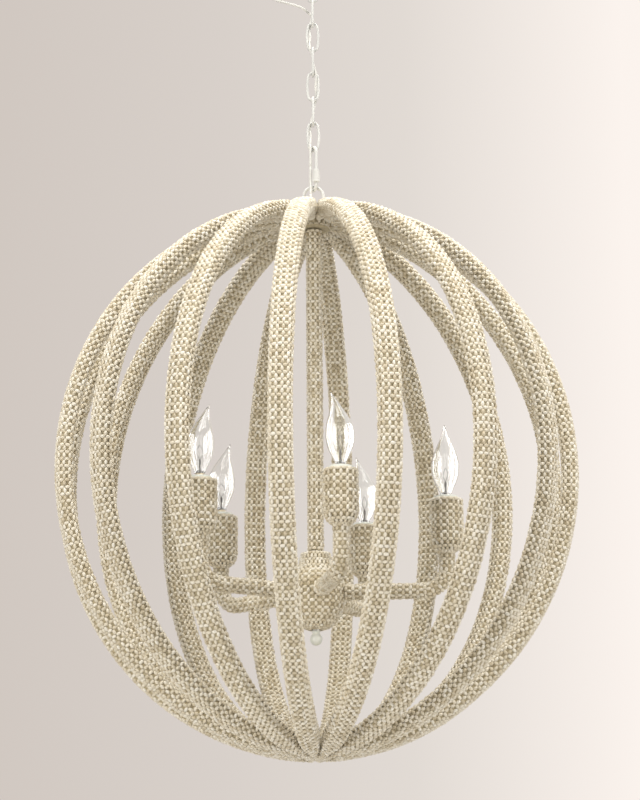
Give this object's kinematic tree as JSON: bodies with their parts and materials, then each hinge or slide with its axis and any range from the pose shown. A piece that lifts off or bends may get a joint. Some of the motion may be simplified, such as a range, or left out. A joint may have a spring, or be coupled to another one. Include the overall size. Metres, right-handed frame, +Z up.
{
  "type": "orb chandelier",
  "caption": "Hanging orb chandelier: bead-wrapped vertical ribs form an open globe round a stem with candle arms, on a chain from a ceiling canopy.",
  "frame": {"origin": "centre of the mounting strap's upper face, where it meets the ceiling", "axes": "+Z up, away from the lantern into the ceiling; -Y towards the front; +X to the right seen from the front"},
  "size_m": [0.6016, 0.6016, 1.033],
  "materials": {
    "coco_bead_wrap": "small cream coco beads woven in a net over the frame",
    "white_paint": "satin white paint",
    "zinc_steel": "bright zinc plate",
    "socket_white": "matt off-white moulding",
    "clear_glass": "clear thin glass",
    "cord_white": "smooth white sheath"
  },
  "bodies": {
    "canopy": {"mounting_strap": "zinc_steel", "strap_screw_a": "zinc_steel", "strap_screw_b": "zinc_steel", "ceiling_canopy": "white_paint", "canopy_loop": "white_paint", "supply_cord": "cord_white"},
    "link_1": {"chain_link_1": "white_paint"},
    "link_2": {"chain_link_2": "white_paint"},
    "link_3": {"chain_link_3": "white_paint"},
    "link_4": {"chain_link_4": "white_paint"},
    "link_5": {"chain_link_5": "white_paint"},
    "link_6": {"chain_link_6": "white_paint"},
    "link_7": {"chain_link_7": "white_paint"},
    "link_8": {"chain_link_8": "white_paint"},
    "connector": {"quick_link": "white_paint", "quick_link_nut": "white_paint"},
    "orb": {"hang_loop": "white_paint", "top_hub": "coco_bead_wrap", "bottom_hub": "coco_bead_wrap", "stem": "coco_bead_wrap", "centre_pipe": "zinc_steel", "cluster_body": "coco_bead_wrap", "finial": "white_paint", "rib_01": "coco_bead_wrap", "rib_02": "coco_bead_wrap", "rib_03": "coco_bead_wrap", "rib_04": "coco_bead_wrap", "rib_05": "coco_bead_wrap", "rib_06": "coco_bead_wrap", "rib_07": "coco_bead_wrap", "rib_08": "coco_bead_wrap", "rib_09": "coco_bead_wrap", "rib_10": "coco_bead_wrap", "rib_11": "coco_bead_wrap", "rib_12": "coco_bead_wrap", "rib_13": "coco_bead_wrap", "rib_14": "coco_bead_wrap", "rib_15": "coco_bead_wrap", "rib_16": "coco_bead_wrap", "arm_1": "coco_bead_wrap", "arm_2": "coco_bead_wrap", "arm_3": "coco_bead_wrap", "arm_4": "coco_bead_wrap", "arm_5": "coco_bead_wrap", "cup_1": "coco_bead_wrap", "cup_2": "coco_bead_wrap", "cup_3": "coco_bead_wrap", "cup_4": "coco_bead_wrap", "cup_5": "coco_bead_wrap", "socket_1": "socket_white", "socket_2": "socket_white", "socket_3": "socket_white", "socket_4": "socket_white", "socket_5": "socket_white"},
    "bulb_1": {"bulb_1": "clear_glass"},
    "bulb_2": {"bulb_2": "clear_glass"},
    "bulb_3": {"bulb_3": "clear_glass"},
    "bulb_4": {"bulb_4": "clear_glass"},
    "bulb_5": {"bulb_5": "clear_glass"}
  },
  "joints": [
    {"name": "loop_to_link_1", "type": "hinge", "parent": "canopy", "child": "link_1", "pos_m": [0, 0, -0.05485], "axis": [1, 0, 0], "range_deg": [-10, 10], "deforming": ["supply_cord"]},
    {"name": "link_1_to_link_2", "type": "hinge", "parent": "link_1", "child": "link_2", "pos_m": [0, 0, -0.08615], "axis": [0, 1, 0], "range_deg": [-10, 10]},
    {"name": "link_2_to_link_3", "type": "hinge", "parent": "link_2", "child": "link_3", "pos_m": [0, 0, -0.1179], "axis": [1, 0, 0], "range_deg": [-10, 10]},
    {"name": "link_3_to_link_4", "type": "hinge", "parent": "link_3", "child": "link_4", "pos_m": [0, 0, -0.14965], "axis": [0, 1, 0], "range_deg": [-10, 10]},
    {"name": "link_4_to_link_5", "type": "hinge", "parent": "link_4", "child": "link_5", "pos_m": [0, 0, -0.1814], "axis": [1, 0, 0], "range_deg": [-10, 10]},
    {"name": "link_5_to_link_6", "type": "hinge", "parent": "link_5", "child": "link_6", "pos_m": [0, 0, -0.21315], "axis": [0, 1, 0], "range_deg": [-10, 10]},
    {"name": "link_6_to_link_7", "type": "hinge", "parent": "link_6", "child": "link_7", "pos_m": [0, 0, -0.2449], "axis": [1, 0, 0], "range_deg": [-10, 10]},
    {"name": "link_7_to_link_8", "type": "hinge", "parent": "link_7", "child": "link_8", "pos_m": [0, 0, -0.27665], "axis": [0, 1, 0], "range_deg": [-10, 10]},
    {"name": "link_8_to_connector", "type": "hinge", "parent": "link_8", "child": "connector", "pos_m": [0, 0, -0.3084], "axis": [1, 0, 0], "range_deg": [-10, 10]},
    {"name": "connector_to_orb", "type": "hinge", "parent": "connector", "child": "orb", "pos_m": [0, 0, -0.3584], "axis": [-0.4695, 0.8829, 0], "range_deg": [-10, 10]},
    {"name": "bulb_1_lift", "type": "slide", "parent": "orb", "child": "bulb_1", "axis": [0, 0, 1], "range_m": [0, 0.022]},
    {"name": "bulb_2_lift", "type": "slide", "parent": "orb", "child": "bulb_2", "axis": [0, 0, 1], "range_m": [0, 0.022]},
    {"name": "bulb_3_lift", "type": "slide", "parent": "orb", "child": "bulb_3", "axis": [0, 0, 1], "range_m": [0, 0.022]},
    {"name": "bulb_4_lift", "type": "slide", "parent": "orb", "child": "bulb_4", "axis": [0, 0, 1], "range_m": [0, 0.022]},
    {"name": "bulb_5_lift", "type": "slide", "parent": "orb", "child": "bulb_5", "axis": [0, 0, 1], "range_m": [0, 0.022]}
  ]
}
